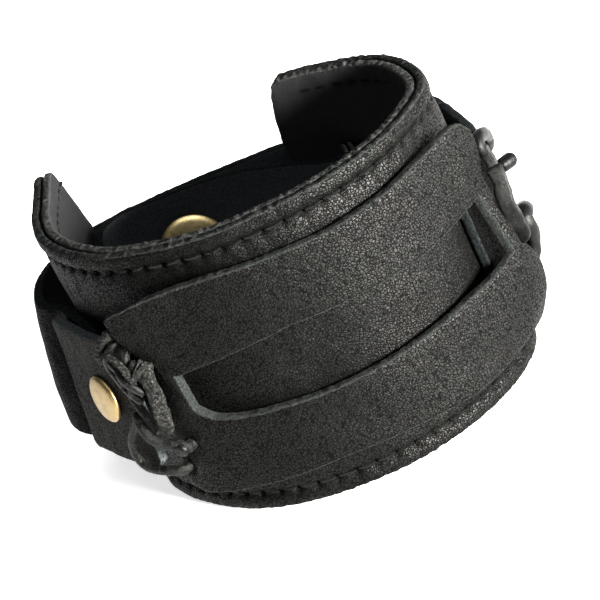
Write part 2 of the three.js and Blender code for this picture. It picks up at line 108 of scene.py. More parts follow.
OVERLAY = [
    # s, four heights: lower edge, slot's lower edge, slot's upper edge, upper edge, and six stand-offs:
    # lower edge, lower strap's middle, slot's lower edge, slot's upper edge, upper strap's middle, upper edge
    (-16.5, -16.4, -12.9, 13.9, 14.4, 4.5, 4.6, 4.6, 6.4, 6.6, 6.8),
    (-15.2, -17.3, -9, 15.4, 16.4, 4.5, 4.6, 4.6, 6.4, 6.6, 6.8),
    (-14.4, -17.8, -3.6, 14.6, 17.9, 4.5, 4.6, 4.5, 6.4, 6.6, 6.8),
    (-13.4, -18, -1, 10.9, 18.2, 4.4, 4.6, 4.3, 5.9, 6.4, 6.6),
    (-11.3, -18.3, 2.2, 7.5, 18.7, 4, 4.3, 4, 4.8, 5.5, 6),
    (-9.6, -18.4, -2.4, 4.3, 19, 3.5, 3.7, 3.5, 3.8, 4.8, 5.4),
    (-7.5, -18.5, -4.4, 4.7, 19.3, 3.1, 3.2, 3.1, 3.2, 4, 4.6),
    (-3, -18.4, -5.2, 5.4, 19.5, 2.6, 2.6, 2.6, 2.7, 3, 3.3),
    (2.5, -17.9, -5.3, 6.3, 19.6, 2.5, 2.5, 2.5, 2.5, 2.6, 2.7),
    (9.5, -17.4, -5.6, 7.2, 19.1, 2.5, 2.5, 2.5, 2.5, 2.5, 2.5),
    (20, -18, -5.5, 6.7, 18.5, 2.5, 2.5, 2.5, 2.5, 2.5, 2.5),
    (30, -19.2, -5.2, 6.1, 18.7, 2.5, 2.5, 2.6, 2.5, 2.5, 2.5),
    (36, -19.4, -4.9, 6.3, 19.2, 2.5, 2.9, 3.1, 2.6, 2.6, 2.6),
    (41, -19.2, -4.3, 6.7, 19.4, 2.8, 4.4, 4.7, 3.3, 3.3, 3.2),
    (44.8, -18.9, -3.2, 7.4, 19.9, 3.3, 5.9, 6, 4.4, 4.5, 4.4),
    (46.8, -18.6, -3.2, 9.6, 19.5, 3.7, 6.6, 6.5, 5, 5.1, 5),
    (48.4, -18.3, -5, 13.4, 16.8, 4, 6.9, 6.7, 5.4, 5.5, 5.4),
    (49.2, -17.6, -8, 15, 15.6, 4.2, 6.8, 6.8, 5.4, 5.5, 5.4),
]
# From and to which s the two straps of the overlay reach, and the necks that join them.
OVERLAY_LOWER = (-16.5, 49.2)
OVERLAY_UPPER = (-14.4, 48.4)
OVERLAY_NECKS = [(-11.3, -9.6), (44.8, 46.8)]

TAB = [
    # x, y, top edge, lean, bulge, flare of the lower edge
    (-35.4, -14, 12, 0.9, 0.3, 2), (-31.2, -18.3, 12, 0.5, 0.3, 2), (-27, -22.5, 12, 0.2, 0.2, 1.9),
    (-23.3, -25.7, 12, 0, 0.1, 1.6), (-19.9, -28, 12, 0, 0, 1.3),
]
OUTER_STRAP = [
    # x, y, top edge, and lean, bulge and flare where they aren't 0
    (15.3, 26.4, 11.7), (10, 27.5, 11.7), (4.5, 28.1, 11.7), (-2, 27.7, 11.7), (-8.5, 26.4, 11.7),
    (-14.5, 25.3, 11.7), (-21, 24.7, 11.3), (-28, 24.2, 10.6), (-34.8, 23.7, 9.6, 0, 0.2),
    (-40, 22.5, 9.2, 0.2, 0.4), (-42.8, 18.6, 9.5, 0.6, 0.7), (-43.6, 13, 10.6, 1.3, 1, 0.1),
    (-44.3, 7.5, 11.6, 1.8, 1.2, 0.3), (-44.2, 2, 12, 2, 1.2, 0.7), (-42.8, -3.5, 12, 1.9, 1.1, 1.2),
    (-40.5, -7.9, 12, 1.6, 0.8, 1.6), (-37.8, -10.3, 11.9, 1.2, 0.4, 1.9), (-34.4, -11.9, 11.8, 0.7, 0, 2),
    (-32, -14, 11.7, 0.5, 0, 2), (-29.6, -16.6, 11.7, 0.2, 0, 2), (-25.4, -20.9, 11.7, 0, 0, 1.8),
    (-22.7, -23.6, 11.7, 0, 0, 1.5),
]
INNER_STRAP = [
    # x, y, top edge, and lean, bulge and flare where they aren't 0
    (35.7, -7, 10.4), (36.8, -2.2, 10.6), (38, 1.2, 11, 0.1), (39.1, 4.6, 11.5, 0.4),
    (37.9, 8.7, 12.7, 0.3), (35.7, 12.6, 13.2), (33.9, 15.7, 13.2), (32, 19.2, 13.4), (29.3, 23, 13.6),
    (26, 25, 13.4), (22.3, 25.2, 12.3), (18.6, 23.7, 10.7), (15.2, 21.5, 9.9), (12, 19.7, 9.7),
    (8.2, 19.6, 10.1), (4.2, 20.6, 10.7), (-1, 21.3, 11.4), (-6.8, 22.2, 12), (-12.3, 22.7, 12),
    (-18.8, 22.1, 12), (-25.3, 20.9, 12), (-30.3, 19.7, 12), (-32.8, 17.6, 12), (-34, 14, 12),
    (-34, 9.5, 12),
]

# How a strap's ends are cut: distance from the end, share of the full half height.
NOSE = [(0, 0.2), (1, 0.4), (3, 0.66), (5.5, 0.9), (8, 1)]
SOFT_END = [(0, 0.62), (1, 0.8), (2.5, 0.93), (4.5, 1)]
SQUARE_END = [(0, 0.9), (0.9, 1), (3, 1)]

# The laces, strand by strand. Courses are (s, z, stand-off) beside the cuff's path. A strand's width lies
# along the wall before it is turned by some degrees, plies are twisted round each other, and roughness runs
# from 0 for smooth grain to 1 for raw flesh.
LEFT_STRANDS = [
    # width, depth, roughness, turn, plies, course, as in the two tables below
    (2.6, 1.3, 0.25, 0, 0, [
        (-12.4, 14.8, 3), (-13.4, 13.2, 3.5), (-14.5, 11.8, 4.9), (-14.8, 10.4, 6.2), (-14.5, 8.6, 6.8)]),
    (2.3, 1.3, 0.6, 25, 0, [
        (-14.6, 9.2, 6.5), (-15.3, 6.8, 6.8), (-16.3, 5, 6.5), (-16.7, 3.2, 6.3), (-16.4, 1.2, 6.3),
        (-16.1, -0.8, 6.3), (-16.5, -2.9, 6), (-17.4, -4.6, 5.7)]),
    (2.4, 1.5, 1, -15, 0, [
        (-11.4, 10.2, 2.9), (-12.2, 8.8, 4), (-12.2, 7.6, 6), (-11.7, 6.2, 6.9), (-11.5, 4.6, 7.1),
        (-11.9, 2.4, 7), (-12.5, -0.3, 6.8), (-13.3, -2.8, 6.4), (-13.7, -3.9, 6.1)]),
    (1.2, 0.9, 0.5, 20, 0, [
        (-12.6, 10, 6.2), (-12.9, 9.4, 6.9), (-14.1, 8.1, 7.5), (-15.9, 6.2, 7.4), (-16.6, 4.6, 6.9)]),
    (1.2, 0.9, 0.4, 60, 0, [
        (-11.8, 10, 5.9), (-12.5, 8.6, 7.5), (-14, 6.8, 7.9), (-15, 4.8, 7.5), (-15.4, 3, 6.8)]),
    (1.1, 0.8, 0.7, 0, 0, [
        (-16.7, 6.8, 6.6), (-15.8, 7.3, 7.6), (-14.6, 7.6, 8), (-13, 7.8, 8), (-11.6, 8.8, 7.3),
        (-11, 9.4, 6.4)]),
    (1.5, 1.1, 0.8, 30, 0, [
        (-17.9, 10.9, 5.4), (-17.2, 11.4, 6.6), (-15.8, 11.2, 7.2), (-14.4, 10, 7.6), (-13.6, 8.4, 7.9),
        (-13.4, 6.8, 7.7)]),
    (1.4, 1.2, 0.15, 0, 0, [
        (-17.6, 9.4, 5.6), (-16.6, 9.9, 6.9), (-15.4, 9.2, 7.5), (-14.6, 7.8, 8.2), (-13.6, 6, 8),
        (-12.9, 4.4, 7.4)]),
    (1.3, 1.1, 0.1, 0, 0, [
        (-14.6, 13.2, 4.6), (-15.6, 12.6, 6.4), (-16.8, 11, 6.9), (-17.4, 9.2, 6.9), (-17, 7.4, 6.9),
        (-16.2, 5.6, 7.2), (-15.2, 4.2, 7.4), (-14.2, 2.6, 7.2)]),
    (1.6, 1.6, 0.45, 0, 3, [
        (-13.2, 14.6, 3.2), (-14.3, 14.9, 4.6), (-15.3, 14.7, 5.9), (-16.6, 13.7, 6.3), (-17.9, 12.2, 6.3),
        (-19, 10.9, 6.2), (-19.6, 9.6, 5.8), (-19.8, 8.9, 4.6), (-19.8, 8.8, 2.8)]),
    (1.7, 1.5, 0.3, 0, 0, [
        (-17.2, -0.8, 6.2), (-18, -2, 6.5), (-19.7, -3.8, 6.7), (-21.3, -6, 6.9), (-22.2, -8.2, 7),
        (-21.9, -10.2, 7), (-20.4, -11.3, 6.9), (-18.1, -11.6, 6.7), (-16.4, -11.7, 6.4),
        (-15.1, -12.1, 5.5), (-14.9, -12.6, 2.6)]),
    (2.1, 1.8, 0.3, 0, 0, [
        (-17.9, -0.4, 5.9), (-17.9, -1.8, 6.3), (-17.1, -3.4, 6.9), (-16.2, -4.9, 7), (-14.8, -5.9, 6.7),
        (-13.3, -6.5, 6.3), (-12.4, -7.2, 5.9), (-12.6, -7.9, 5), (-12.7, -7.9, 2.8)]),
]
UPPER_RIGHT_STRANDS = [
    (2.2, 1.9, 0, 0, 0, [
        (56.2, 8.2, 2.5), (56.2, 8.6, 4.6), (55.2, 10.4, 5.1), (53.2, 12.6, 5.2), (51.2, 13.9, 5.2),
        (49.6, 14.2, 5.1), (48.9, 13.4, 5.2), (49.3, 12.2, 5.3), (50.4, 11.7, 5.2)]),
    (2, 1.4, 0.1, 60, 0, [
        (49.2, 13.4, 5), (49.2, 12.2, 5.4), (49.2, 10.8, 5.8), (48.9, 9, 6)]),
    (2.7, 1.5, 0.12, 75, 0, [
        (48.9, 9.6, 5.8), (48.4, 8.6, 6.3), (48, 7.2, 6.6), (47.5, 5.6, 6.6), (47.2, 3.6, 6.6),
        (47.5, 1, 6.6), (47.9, -1.2, 6.6), (48.3, -2.6, 6.4), (48.4, -3.6, 5.4), (48.2, -4.8, 4)]),
    (2.4, 2.4, 0, 0, 0, [(49.2, 8.7, 6.4), (50.2, 8.7, 7.6), (51.3, 8.5, 8.6)]),
]
LOWER_RIGHT_STRANDS = [
    (2.6, 2, 0, 40, 0, [
        (56.2, -4.2, 2.5), (56.2, -4.1, 5), (54.8, -3, 6.2), (52.8, -1.6, 6.8), (51, -0.8, 7),
        (50, -1.2, 7.1), (49.8, -2.4, 7.2), (50, -3.8, 7.1), (50.3, -5.2, 6.8), (50.3, -6.6, 6.4),
        (50.1, -8, 5.8), (50, -9.4, 4.8), (49.6, -10.2, 3.4)]),
]
LEFT_COIL = {"centre": (-12.8, -7.2, 6), "radius": 0.6}
PLY_PITCH = 4
STRAND_STEP = 0.2

# The s and z of the two dents that laces pull into the overlay.
OVERLAY_DENTS = [(-12.7, -7.9), (-14.9, -12.6)]
DENT = {"depth": 1.1, "radius": 1.1}

# The x, y and z of the snaps. The front one sits a little further along the tab and off its face.
FRONT_SNAP = (-26.6, -22.9, 0.5)
FRONT_SNAP_SHIFT = 0.6
FRONT_SNAP_LIFT = 0.35
BACK_SNAP = (-20.8, 21.8, 1)
INSIDE_CAP_LIFT = 0.5
BACK_CAP_SINK = 0.15

# Ripples of the leather: height, size and seed.
CUFF_WAVES = [(0.16, 17, 3), (0.07, 6, 4)]
OVERLAY_WAVES = [(0.12, 14, 21), (0.06, 5, 22)]

# The camera of the photograph: where it stands from the oval's middle, how it is turned, and its lens. The
# oval's middle is seen at the aim pixel.
CAMERA = {"distance": 350, "azimuth": 22.8, "elevation": 24.9, "roll": -26.3, "lens": 127.2, "sensor": 36}
AIM_PIXEL = (284, 279)

# The studio, in metres, degrees and watts.
LIGHTS = {
    # name: azimuth, elevation, distance, size, power, colour
    "key": (62, 4, 0.7, 0.25, 92, (1, 0.985, 0.91)),
    "side": (100, 5, 0.7, 0.36, 10, (1, 1, 1)),
    "top": (20, 70, 0.7, 0.4, 2, (1, 1, 1)),
    "back": (180, 50, 0.7, 0.4, 1, (1, 1, 1)),
}
WORLD_GLOW = 0.15
FLOOR_GLOW = 0.66
FLOOR = {"reach": 1.2, "rise": 0.6, "half_width": 2.5}


def read_table(rows, at):
    """The columns after the first of a table, blended at each of many values of its first column."""
    columns = np.array(rows, float).T
    return [np.interp(at, columns[0], column) for column in columns[1:]]


SAMPLES_PER_SPAN = 16


def spline(corners):
    """Points along a smooth curve through some corners, in the plane or in space."""
    before = np.vstack([corners[:1], corners[:-2]])
    after = np.vstack([corners[2:], corners[-1:]])
    first, second = corners[:-1], corners[1:]
    leave, arrive = (second - before) / 2, (after - first) / 2
    shares = np.arange(SAMPLES_PER_SPAN) / SAMPLES_PER_SPAN
    spans = [(2 * (first - second) + leave + arrive) * t ** 3
             + (3 * (second - first) - 2 * leave - arrive) * t ** 2
             + leave * t + first for t in shares]
    return np.vstack([np.stack(spans, axis=1).reshape(-1, corners.shape[1]), corners[-1:]])


class Path:
    """A smooth path in plan through a table's x and y, with distances from the point nearest to zero_at."""

    OVERRUN = 6

    def __init__(self, rows, zero_at=None):
        corners = np.array([row[:2] for row in rows], float)
        self.samples = spline(corners)
        steps = np.linalg.norm(np.diff(self.samples, axis=0), axis=1)
        walked = np.concatenate([[0], np.cumsum(steps)])
        zero_at = corners[0] if zero_at is None else np.array(zero_at, float)
        zero = walked[np.argmin(np.linalg.norm(self.samples - zero_at, axis=1))]
        self.walked = walked - zero
        self.start, self.end = self.walked[0], self.walked[-1]
        self.marks = self.walked[::SAMPLES_PER_SPAN]
        along = np.vstack([self.samples[1:2] - self.samples[:1],
                           self.samples[2:] - self.samples[:-2],
                           self.samples[-1:] - self.samples[-2:-1]])
        along /= np.linalg.norm(along, axis=1)[:, None]
        self.outward = np.stack([along[:, 1], -along[:, 0]], axis=1)
        # Straight on beyond both ends, for what is set a little past them.
        self._x, self._y = (np.concatenate([
            [self.samples[0, k] - self.OVERRUN * along[0, k]],
            self.samples[:, k],
            [self.samples[-1, k] + self.OVERRUN * along[-1, k]],
        ]) for k in (0, 1))
        self._s = np.concatenate([[self.start - self.OVERRUN], self.walked, [self.end + self.OVERRUN]])

    def side(self, s):
        """The outward directions at distances s."""
        normal = np.stack([np.interp(s, self.walked, self.outward[:, k]) for k in (0, 1)], axis=-1)
        return normal / np.linalg.norm(normal, axis=-1, keepdims=True)

    def place(self, s, stand_off, z):
        """Points at distances s and heights z, standing off to the outward side."""
        s, stand_off, z = np.broadcast_arrays(np.asarray(s, float), stand_off, z)
        foot = np.stack([np.interp(s, self._s, self._x), np.interp(s, self._s, self._y)], axis=-1)
        foot = foot + self.side(s) * stand_off[..., None]
        return np.concatenate([foot, z[..., None]], axis=-1)

    def nearest(self, x, y):
        """The distance at which the path comes nearest to a point."""
        return self.walked[np.argmin(np.linalg.norm(self.samples - np.array([x, y]), axis=1))]


CUFF_PATH = Path(CUFF_PLAN, FRONT_CENTRE)
TAB_PATH = Path(TAB)
OUTER_PATH = Path(OUTER_STRAP)
INNER_PATH = Path(INNER_STRAP)


def part_origin():
    """Where the paths' own origin lies in the part's frame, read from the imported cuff."""
    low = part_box("cuff_outer")[0]
    x = low[0] / MM - CUFF_PATH.samples[:, 0].min()
    y = low[1] / MM - CUFF_PATH.samples[:, 1].min()
    return np.array([x, y, CUFF_HEIGHT / 2])


ORIGIN = part_origin()


# Shapes

# A plate's grid has lines at these distances from its edges. At the edge it has this share of its thickness.
EDGE_STEPS = (0, 0.12, 0.35, 0.75)
EDGE_SHARE = 0.62
WALL_STEPS = 3

# How far in from an edge it is frayed, how far it is coloured as one, and the sizes of the fraying.
FRAY_REACH = 0.4
EDGE_REACH = 0.35
FRAY_SIZES = (1.3, 1.1)

RIPPLE_COUNT = 9


def smooth_table(rows, at, reach):
    """As read_table, with the corners between its rows rounded off over a reach to either side."""
    at = np.asarray(at, float)
    shifts = np.linspace(-reach, reach, 7)
    readings = [read_table(rows, at + shift) for shift in shifts]
    return [sum(columns) / len(shifts) for columns in zip(*readings)]


def ripples(u, v, size, seed):
    """A smooth random height between about -1 and 1 over two directions, with bumps about size apart."""
    random = np.random.default_rng(seed)
    total = 0
    for _ in range(RIPPLE_COUNT):
        turn, phase = random.uniform(0, 2 * math.pi, 2)
        pitch = size * random.uniform(0.7, 1.7)
        total = total + np.sin((u * math.cos(turn) + v * math.sin(turn)) * 2 * math.pi / pitch + phase)
    return total * 2 / RIPPLE_COUNT


def waves(s, z, layers):
    """Several layers of ripples on top of each other."""
    return sum(height * ripples(s, z, size, seed) for height, size, seed in layers)


def between(low, high, count):
    """Values from low to high, close together near both and in count steps between."""
    low, high = np.asarray(low, float), np.asarray(high, float)
    fit = np.minimum(1, (high - low) / (3 * EDGE_STEPS[-1]))
    first, last = low + EDGE_STEPS[-1] * fit, high - EDGE_STEPS[-1] * fit
    rows = [low + step * fit for step in EDGE_STEPS[:-1]]
    rows += [first + (last - first) * k / count for k in range(count + 1)]
    rows += [high - step * fit for step in EDGE_STEPS[-2::-1]]
    return np.stack(rows)


def through(marks, step):
    """Stations through marks along a path, close together near each mark and about step apart between."""
    runs = [between(a, b, max(1, round((b - a) / step))) for a, b in zip(marks, marks[1:])]
    return np.concatenate([run[:-1] for run in runs] + [[marks[-1]]])


def columns_within(stations, start, end):
    """Which columns of cells lie between two of the stations."""
    middles = (stations[:-1] + stations[1:]) / 2
    return (middles > start) & (middles < end)


def find_edges(filled):
    """Pairs of grid corners along the edges of a plate's filled cells, all with the leather on one side."""
    across = np.pad(filled, ((0, 0), (1, 1)))
    along = np.pad(filled, ((1, 1), (0, 0)))
    edges = []
    for i, j in np.argwhere(across[:, 1:] != across[:, :-1]):
        pair = [(i, j), (i + 1, j)]
        edges.append(pair if across[i, j + 1] else pair[::-1])
    for i, j in np.argwhere(along[1:] != along[:-1]):
        pair = [(i, j), (i, j + 1)]
        edges.append(pair[::-1] if along[i + 1, j] else pair)
    return edges


def edge_distance(s, z, edges):
    """How far each point of a plate's grid lies from the plate's nearest edge."""
    distance = np.full(s.shape, 99.0)
    for a, b in edges:
        ds, dz = s[b] - s[a], z[b] - z[a]
        share = np.clip(((s - s[a]) * ds + (z - z[a]) * dz) / (ds * ds + dz * dz + 1e-9), 0, 1)
        distance = np.minimum(distance, np.hypot(s - s[a] - share * ds, z - z[a] - share * dz))
    return distance


def add_object(name, data):
    """A new object in the scene that shows a mesh, a light or a camera."""
    made = bpy.data.objects.new(name, data)
    bpy.context.scene.collection.objects.link(made)
    return made


def make_piece(name, points, faces, material, attributes=None):
    """A smooth-shaded mesh object from points in millimetres in the paths' own frame."""
    faces = np.asarray(faces)
    used, faces = np.unique(faces, return_inverse=True)
    faces = faces.reshape(-1, 4)
    mesh = bpy.data.meshes.new(name)
    mesh.from_pydata(((np.asarray(points)[used] + ORIGIN) * MM).tolist(), [], faces.tolist())
    for attribute, values in (attributes or {}).items():
        layer = mesh.attributes.new(attribute, "FLOAT", "POINT")
        layer.data.foreach_set("value", np.asarray(values, np.float32)[used])
    mesh.shade_smooth()
    mesh.materials.append(material)
    return add_object(name, mesh)


def plate(name, path, s, z, outer, thickness, material, seed, filled=None, relief=0, shade=0, fray=0.07,
          rounding=0.6):
    """A leather plate on a grid of distances s and heights z, with rounded, frayed edges."""
    columns, lines = s.shape
    if filled is None:
        filled = np.ones((columns - 1, lines - 1), bool)
    edges = find_edges(filled)
    distance = edge_distance(s, z, edges)
    shoulder = np.clip(distance / rounding, 0, 1)
    swell = EDGE_SHARE + (1 - EDGE_SHARE) * np.sqrt(1 - (1 - shoulder) ** 2)
    middle, half = outer - thickness / 2, swell * thickness / 2
    near = np.exp(-(distance / FRAY_REACH) ** 2)
    ds, dz = (near * fray * ripples(s, z, size, seed + k) for k, size in enumerate(FRAY_SIZES))
    skins = [path.place(s + ds, middle + half + relief, z + dz), path.place(s + ds, middle - half, z + dz)]
    count = columns * lines
    index = np.arange(count).reshape(columns, lines)
    i, j = np.nonzero(filled)
    a, b, c, d = index[i, j], index[i + 1, j], index[i + 1, j + 1], index[i, j + 1]
    faces = [np.stack([a, b, c, d], axis=1), np.stack([a, d, c, b], axis=1) + count]
    points = [skins[0].reshape(-1, 3), skins[1].reshape(-1, 3)]
    edge = [np.exp(-(distance.ravel() / EDGE_REACH) ** 2)] * 2
    flesh = [np.zeros(count), np.ones(count)]

    random = np.random.default_rng(seed + 2)
    walls = {}
    extra_points = []

    def wall(corner):
        """The points from the inner skin to the outer one at a corner of the grid that lies on an edge."""
        if corner not in walls:
            inner, outer_point = skins[1][corner], skins[0][corner]
            middles = []
            for k in range(1, WALL_STEPS):
                jitter = random.normal(0, fray * 0.8, 3)
                extra_points.append(inner + (outer_point - inner) * k / WALL_STEPS + jitter)
                middles.append(2 * count + len(extra_points) - 1)
            walls[corner] = [index[corner] + count, *middles, index[corner]]
        return walls[corner]

    strips = []
    for first, second in edges:
        one, other = wall(first), wall(second)
        strips += [(one[k], other[k], other[k + 1], one[k + 1]) for k in range(WALL_STEPS)]
    faces.append(np.array(strips))
    points.append(np.array(extra_points))
    edge.append(np.ones(len(extra_points)))
    flesh.append(np.full(len(extra_points), 0.5))
    shaded = np.concatenate([np.broadcast_to(shade, s.shape).ravel(), np.zeros(count + len(extra_points))])
    attributes = {"edge": np.concatenate(edge), "flesh": np.concatenate(flesh), "shade": shaded}
    return make_piece(name, np.concatenate(points), np.concatenate(faces), material, attributes)


def cuff_grid():
    """Distances, heights and half heights of the cuff's grid, and which of its cells are leather."""
    last = CUFF_PATH.end + RIGHT_END_REACH
    stations = through([CUFF_PATH.start, SLOT["from"], SLOT["to"], last], STITCH_PITCH / 10)
    left = smooth_table(CUFF_ENDS["left"], stations - CUFF_PATH.start, 0.4)[0]
    right = smooth_table(CUFF_ENDS["right"], last - stations, 0.4)[0]
    half = np.minimum(left, right) * CUFF_HEIGHT / 2
    slot_low = np.maximum(SLOT["bottom"], -SLOT_LINE_SHARE * half)
    slot_high = np.minimum(SLOT["top"], SLOT_LINE_SHARE * half)
    low = np.minimum(half, CUFF_HEIGHT / 2 - LOWER_RIM_LIFT)
    levels = [-low, STITCH_INSET - low, slot_low, slot_high, half - STITCH_INSET, half]
    rows = [between(*run) for run in zip(levels, levels[1:], (3, 4, 18, 5, 3))]
    heights = np.concatenate([row[:-1] for row in rows] + [rows[-1][-1:]]).T
    line_starts = np.cumsum([0] + [len(row) - 1 for row in rows])
    s = np.repeat(stations[:, None], heights.shape[1], axis=1)
    filled = np.ones((len(stations) - 1, heights.shape[1] - 1), bool)
    filled[columns_within(stations, SLOT["from"], SLOT["to"]), line_starts[2]:line_starts[3]] = False
    return s, heights, half[:, None], filled


def cuff_relief(s, z, half):
    """The stitched border: a puffed rim and a groove, both pulled in where the thread goes through."""
    inset = half - np.abs(z)
    pull = 0.5 - 0.5 * np.cos(2 * math.pi * s / STITCH_PITCH)
    relief = RIM_PUFF * np.sin(math.pi * np.clip(inset / STITCH_INSET, 0, 1)) * (1 - 0.15 * pull)
    for depth, more, half_width in STITCH_GROOVES:
        relief = relief - (depth + more * pull) * np.exp(-((inset - STITCH_INSET) / half_width) ** 2)
    return relief - STITCH_HOLE["depth"] * stitch_holes(s, z, half)


def stitch_holes(s, z, half):
    """How near each point is to a hole that the thread goes through: 1 in its middle."""
    inset = half - np.abs(z)
    to_hole = STITCH_PITCH * np.abs((s / STITCH_PITCH) % 1 - 0.5)
    along, across = to_hole / STITCH_HOLE["half_length"], (inset - STITCH_INSET) / STITCH_HOLE["half_height"]
    return np.exp(-along ** 2 - across ** 2)


def cuff_layers(leather, suede):
    """The cuff's outer layer and its lining, on the same grid."""
    s, z, half, filled = cuff_grid()
    face = waves(s, z, CUFF_WAVES)
    outer = plate("cuff_outer_leather", CUFF_PATH, s, z, face, OUTER_THICKNESS, leather, 5, filled,
                  relief=cuff_relief(s, z, half), shade=stitch_holes(s, z, half), fray=0.12)
    stand_off = face - OUTER_THICKNESS - LAYER_GAP * LINING_GAP_SHARE
    lining = plate("cuff_lining_suede", CUFF_PATH, s, z, stand_off, LINING_THICKNESS, suede, 9, filled,
                   fray=0.14, rounding=0.9)
    return outer, lining


def overlay_plate(leather):
    """The overlay: two straps joined by necks at both ends of a long slot."""
    marks = sorted({*OVERLAY_LOWER, *OVERLAY_UPPER, *OVERLAY_NECKS[0], *OVERLAY_NECKS[1]})
    stations = through(marks, 0.5)
    low, slot_low, slot_high, high, *offs = smooth_table(OVERLAY, stations, 0.7)
    parts = [(low, slot_low, 14, offs[0], offs[1], offs[2]),
             (slot_low, slot_high, 8, offs[2], (offs[2] + offs[3]) / 2, offs[3]),
             (slot_high, high, 14, offs[3], offs[4], offs[5])]
    heights, stand_offs, starts = [], [], [0]
    for start, end, count, first, middle, last in parts:
        rows = between(start, end, count)
        share = (rows - start) / (end - start)
        curve = (first * (1 - share) * (1 - 2 * share) + middle * 4 * share * (1 - share)
                 + last * share * (2 * share - 1))
        keep = slice(None) if end is high else slice(-1)
        heights.append(rows[keep])
        stand_offs.append(curve[keep])
        starts.append(starts[-1] + len(rows) - 1)
    z, outer = np.concatenate(heights).T, np.concatenate(stand_offs).T
    s = np.repeat(stations[:, None], z.shape[1], axis=1)
    filled = np.zeros((len(stations) - 1, z.shape[1] - 1), bool)
    filled[columns_within(stations, *OVERLAY_LOWER), starts[0]:starts[1]] = True
    filled[columns_within(stations, *OVERLAY_UPPER), starts[2]:starts[3]] = True
    for neck in OVERLAY_NECKS:
        filled[columns_within(stations, *neck), starts[1]:starts[2]] = True
    outer = outer + waves(s, z, OVERLAY_WAVES)
    dents = sum(-DENT["depth"] * np.exp(-((s - dent_s) ** 2 + (z - dent_z) ** 2) / DENT["radius"] ** 2)
                for dent_s, dent_z in OVERLAY_DENTS)
    return plate("overlay_leather", CUFF_PATH, s, z, outer, OVERLAY_THICKNESS, leather, 23, filled,
                 relief=dents, shade=np.clip(-1.5 * dents, 0, 1))


def strap_plate(name, path, table, cut, start_profile, end_profile, material, seed):
    """A strap that leans, bulges and flares as its table says, with shaped ends."""
    stations = through([path.start, path.end], 0.5)
    rows = [(mark, *row[2:], *[0] * (6 - len(row))) for mark, row in zip(path.marks, table)]
    top, lean, bulge, flare = (column[:, None] for column in smooth_table(rows, stations, 2))
    start_share = smooth_table(start_profile, stations - path.start, 0.5)[0]
    end_share = smooth_table(end_profile, path.end - stations, 0.5)[0]
    half = cut["width"] / 2
    reach = np.minimum(start_share, end_share) * half
    centre = top[:, 0] - half
    z = between(centre - reach, centre + reach, 22).T
    share = (z - centre[:, None]) / half
    outer = bulge * (1 - share ** 2) - lean * share + flare * ((1 - share) / 2) ** 2
    ramp = (stations - path.start) / (path.end - path.start)
    s = stations[:, None] + cut["slant"] * share * ramp[:, None]
    outer = outer + waves(s, z, [(0.1, 12, seed), (0.05, 4, seed + 1)])
    return plate(name, path, s, z, outer, cut["thickness"], material, seed + 2)


def walk_evenly(corners, step):
    """Rows about step apart along a smooth curve through some corners, and the distance walked to each."""
    dense = spline(np.asarray(corners, float))
    walked = np.concatenate([[0], np.cumsum(np.linalg.norm(np.diff(dense[:, :3], axis=0), axis=1))])
    even = np.linspace(0, walked[-1], max(4, round(walked[-1] / step)))
    return np.stack([np.interp(even, walked, column) for column in dense.T], axis=1), even


def across_run(along, outward):
    """For each point of a strand, the direction square to its run that lies along the wall."""
    across = np.cross(along, outward)
    sure = np.linalg.norm(across, axis=1) > 0.35
    index = np.arange(len(across))
    across = np.stack([np.interp(index, index[sure], across[sure, k]) for k in range(3)], axis=1)
    padded = np.pad(across, ((4, 4), (0, 0)), mode="edge")
    across = sum(padded[k:k + len(across)] for k in range(9))
    across -= along * np.sum(along * across, axis=1)[:, None]
    return across / np.linalg.norm(across, axis=1)[:, None]


def ring_faces(count, sides):
    """The faces between rings of points that follow each other."""
    index = np.arange(count).reshape(-1, sides)
    following = np.roll(index, -1, axis=1)
    return np.stack([index[:-1], following[:-1], following[1:], index[1:]], axis=-1).reshape(-1, 4)


def sweep(centres, outward, half_widths, half_depths, sides, turn=0, squareness=0, ridges=None):
    """A band swept along centres with closed ends. Returns its points and faces."""
    along = np.gradient(centres, axis=0)
    along /= np.linalg.norm(along, axis=1)[:, None]
    across = across_run(along, outward)
    above = np.cross(along, across)
    turn = np.radians(np.broadcast_to(turn, len(centres)))[:, None]
    wide = across * np.cos(turn) + above * np.sin(turn)
    deep = above * np.cos(turn) - across * np.sin(turn)
    angles = np.arange(sides) / sides * 2 * math.pi
    flatness = 1 - 0.6 * squareness
    x = np.sign(np.cos(angles)) * np.abs(np.cos(angles)) ** flatness
    y = np.sign(np.sin(angles)) * np.abs(np.sin(angles)) ** flatness
    size = np.ones((len(centres), sides)) if ridges is None else ridges(angles)
    rings = (centres[:, None] + (size * half_widths[:, None] * x)[..., None] * wide[:, None]
             + (size * half_depths[:, None] * y)[..., None] * deep[:, None])
    first, last = np.repeat(centres[:1], sides, axis=0), np.repeat(centres[-1:], sides, axis=0)
    points = np.concatenate([first, rings.reshape(-1, 3), last])
    return points, ring_faces(len(points), sides)


def coil(centre, radius):
    """The course of a strand wound into a small knot on the wall."""
    s, z, stand_off = centre
    turns = np.linspace(0, 2.6 * math.pi, 14)
    return [(s + radius * math.cos(a), z + radius * math.sin(a), stand_off + 0.08 * a) for a in turns]


